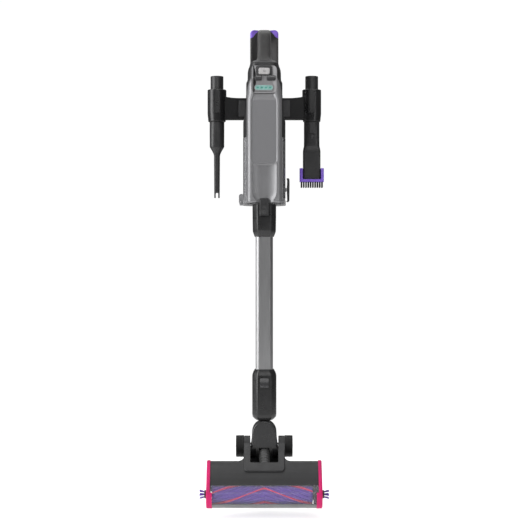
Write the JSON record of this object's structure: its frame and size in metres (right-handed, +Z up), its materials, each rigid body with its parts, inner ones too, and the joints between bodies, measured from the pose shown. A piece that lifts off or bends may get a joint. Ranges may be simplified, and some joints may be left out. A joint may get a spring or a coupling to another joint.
{
  "type": "cordless stick vacuum",
  "caption": "Cordless stick vacuum hung in its wall bracket, with a clear dust bin, an oval metal wand, a tilting floor head with a driven brush roll, and crevice and brush tools.",
  "frame": {"origin": "centre of the wall bracket's back face", "axes": "+Z up along the wand, +Y into the wall, so the vacuum faces -Y"},
  "size_m": [0.288, 0.2773, 1.0882],
  "materials": {
    "black_plastic": "fine grained, satin",
    "dark_gloss": "smooth",
    "soft_grip": "soft touch",
    "grey_metallic": "metallic grey lacquer",
    "grey_satin": "satin metallic grey",
    "panel_grey": "satin",
    "white_plastic": "satin",
    "display": "smooth, lit teal",
    "purple_plastic": "satin",
    "pink_plastic": "satin",
    "smoke_clear": "tinted, see-through",
    "clear": "clear, polished",
    "aluminium": "grey anodised",
    "steel": "turned",
    "rubber": "matt",
    "filter": "pleated fleece",
    "board_green": "circuit board",
    "purple_bristle": "nylon bristle"
  },
  "bodies": {
    "wall_bracket": {"wall_plate": "black_plastic", "tool_bar": "black_plastic", "dock_hook": "black_plastic", "left_tool_sleeve": "black_plastic", "right_tool_sleeve": "black_plastic", "wall_screw_upper": "steel", "wall_screw_lower": "steel"},
    "hand_unit": {"motor_housing": "black_plastic", "spine_cover": "grey_metallic", "spine_inlay": "grey_satin", "control_panel": "panel_grey", "display_lens": "display", "circuit_board": "board_green", "handle_frame": "soft_grip", "handle_cap": "purple_plastic", "inlet_duct": "black_plastic", "dust_bin": "smoke_clear", "cyclone_shroud": "dark_gloss", "pleated_filter": "filter", "suction_motor": "steel", "dock_catch": "black_plastic", "bin_hinge_pin": "steel", "exhaust_grille": "dark_gloss"},
    "motor_fan": {"motor_fan": "aluminium"},
    "power_button": {"power_button": "white_plastic"},
    "boost_button": {"boost_button": "dark_gloss"},
    "mode_button": {"mode_button": "dark_gloss"},
    "battery": {"battery_pack": "black_plastic"},
    "battery_release": {"battery_release_button": "purple_plastic"},
    "bin_door": {"bin_door": "smoke_clear", "bin_seal": "rubber"},
    "bin_latch": {"bin_latch": "black_plastic"},
    "wand": {"wand_upper_socket": "black_plastic", "wand_tube": "aluminium", "wand_lower_spigot": "black_plastic"},
    "wand_release": {"wand_release_button": "black_plastic"},
    "neck": {"neck_socket": "black_plastic", "lean_pin": "steel"},
    "neck_release": {"neck_release_button": "dark_gloss"},
    "swivel": {"swivel_fork": "black_plastic"},
    "floor_head": {"head_housing": "black_plastic", "yoke_frame": "black_plastic", "window": "clear", "front_lip": "panel_grey", "end_cap_left": "pink_plastic", "end_cap_right": "pink_plastic", "sole_plate": "black_plastic", "brush_motor": "steel", "drive_belt": "rubber", "air_hose": "rubber", "wheel_axle_left": "steel", "wheel_axle_right": "steel"},
    "left_wheel": {"wheel_left": "rubber"},
    "right_wheel": {"wheel_right": "rubber"},
    "brush_roll": {"brush_roll": "purple_bristle"},
    "motor_pulley": {"motor_pulley": "steel"},
    "crevice_tool": {"crevice_tool": "black_plastic"},
    "brush_tool": {"brush_tool": "black_plastic"},
    "brush_slider": {"brush_slider": "purple_plastic"}
  },
  "joints": [
    {"name": "dock_lift", "type": "slide", "parent": "wall_bracket", "child": "hand_unit", "axis": [0, 0, 1], "range_m": [0, 0.035]},
    {"name": "fan_spin", "type": "hinge", "parent": "hand_unit", "child": "motor_fan", "pos_m": [0, -0.1, -0.06], "axis": [0, 0, 1], "continuous": true},
    {"name": "power_press", "type": "slide", "parent": "hand_unit", "child": "power_button", "axis": [0, 1, 0], "range_m": [0, 0.0015], "stiffness_N_per_m": 400},
    {"name": "boost_press", "type": "slide", "parent": "hand_unit", "child": "boost_button", "axis": [0, 1, 0], "range_m": [0, 0.0015], "stiffness_N_per_m": 400},
    {"name": "mode_press", "type": "slide", "parent": "hand_unit", "child": "mode_button", "axis": [0, 1, 0], "range_m": [0, 0.0015], "stiffness_N_per_m": 400},
    {"name": "battery_slide", "type": "slide", "parent": "hand_unit", "child": "battery", "axis": [0, 0, 1], "range_m": [0, 0.075]},
    {"name": "battery_release_press", "type": "slide", "parent": "battery", "child": "battery_release", "axis": [0, -1, 0], "range_m": [0, 0.0015], "stiffness_N_per_m": 400},
    {"name": "bin_door_swing", "type": "hinge", "parent": "hand_unit", "child": "bin_door", "pos_m": [-0.0545, -0.095, -0.2285], "axis": [0, 1, 0], "range_deg": [0, 95]},
    {"name": "bin_latch_rock", "type": "hinge", "parent": "hand_unit", "child": "bin_latch", "pos_m": [0.0535, -0.095, -0.2], "axis": [0, -1, 0], "range_deg": [0, 5], "stiffness_Nm_per_rad": 0.5},
    {"name": "wand_pull", "type": "slide", "parent": "hand_unit", "child": "wand", "axis": [0, 0, -1], "range_m": [0, 0.05]},
    {"name": "wand_release_press", "type": "slide", "parent": "wand", "child": "wand_release", "axis": [0, 1, 0], "range_m": [0, 0.0015], "stiffness_N_per_m": 500},
    {"name": "neck_pull", "type": "slide", "parent": "wand", "child": "neck", "axis": [0, 0, -1], "range_m": [0, 0.045]},
    {"name": "neck_release_press", "type": "slide", "parent": "neck", "child": "neck_release", "axis": [0, 1, 0], "range_m": [0, 0.0012], "stiffness_N_per_m": 500},
    {"name": "neck_lean", "type": "hinge", "parent": "neck", "child": "swivel", "pos_m": [0, -0.145, -0.7598], "axis": [0, 1, 0], "range_deg": [-35, 35]},
    {"name": "head_tilt", "type": "hinge", "parent": "swivel", "child": "floor_head", "pos_m": [0, -0.145, -0.792], "axis": [1, 0, 0], "range_deg": [-42, 48]},
    {"name": "left_wheel_spin", "type": "hinge", "parent": "floor_head", "child": "left_wheel", "pos_m": [-0.0559, -0.145, -0.792], "axis": [1, 0, 0], "continuous": true},
    {"name": "right_wheel_spin", "type": "hinge", "parent": "floor_head", "child": "right_wheel", "pos_m": [0.0559, -0.145, -0.792], "axis": [1, 0, 0], "continuous": true},
    {"name": "brush_roll_spin", "type": "hinge", "parent": "floor_head", "child": "brush_roll", "pos_m": [0, -0.24688, -0.88508], "axis": [1, 0, 0], "continuous": true},
    {"name": "motor_pulley_spin", "type": "hinge", "parent": "floor_head", "child": "motor_pulley", "pos_m": [0.108, -0.21746, -0.85051], "axis": [1, 0, 0], "continuous": true},
    {"name": "crevice_tool_pull", "type": "slide", "parent": "wall_bracket", "child": "crevice_tool", "axis": [0, 0, -1], "range_m": [0, 0.112]},
    {"name": "brush_tool_pull", "type": "slide", "parent": "wall_bracket", "child": "brush_tool", "axis": [0, 0, -1], "range_m": [0, 0.112]},
    {"name": "brush_slide", "type": "slide", "parent": "brush_tool", "child": "brush_slider", "axis": [0, 0, 1], "range_m": [0, 0.03]}
  ],
  "couplings": [
    {"joint": "motor_pulley_spin", "follows": "brush_roll_spin", "ratio": 2.5}
  ]
}
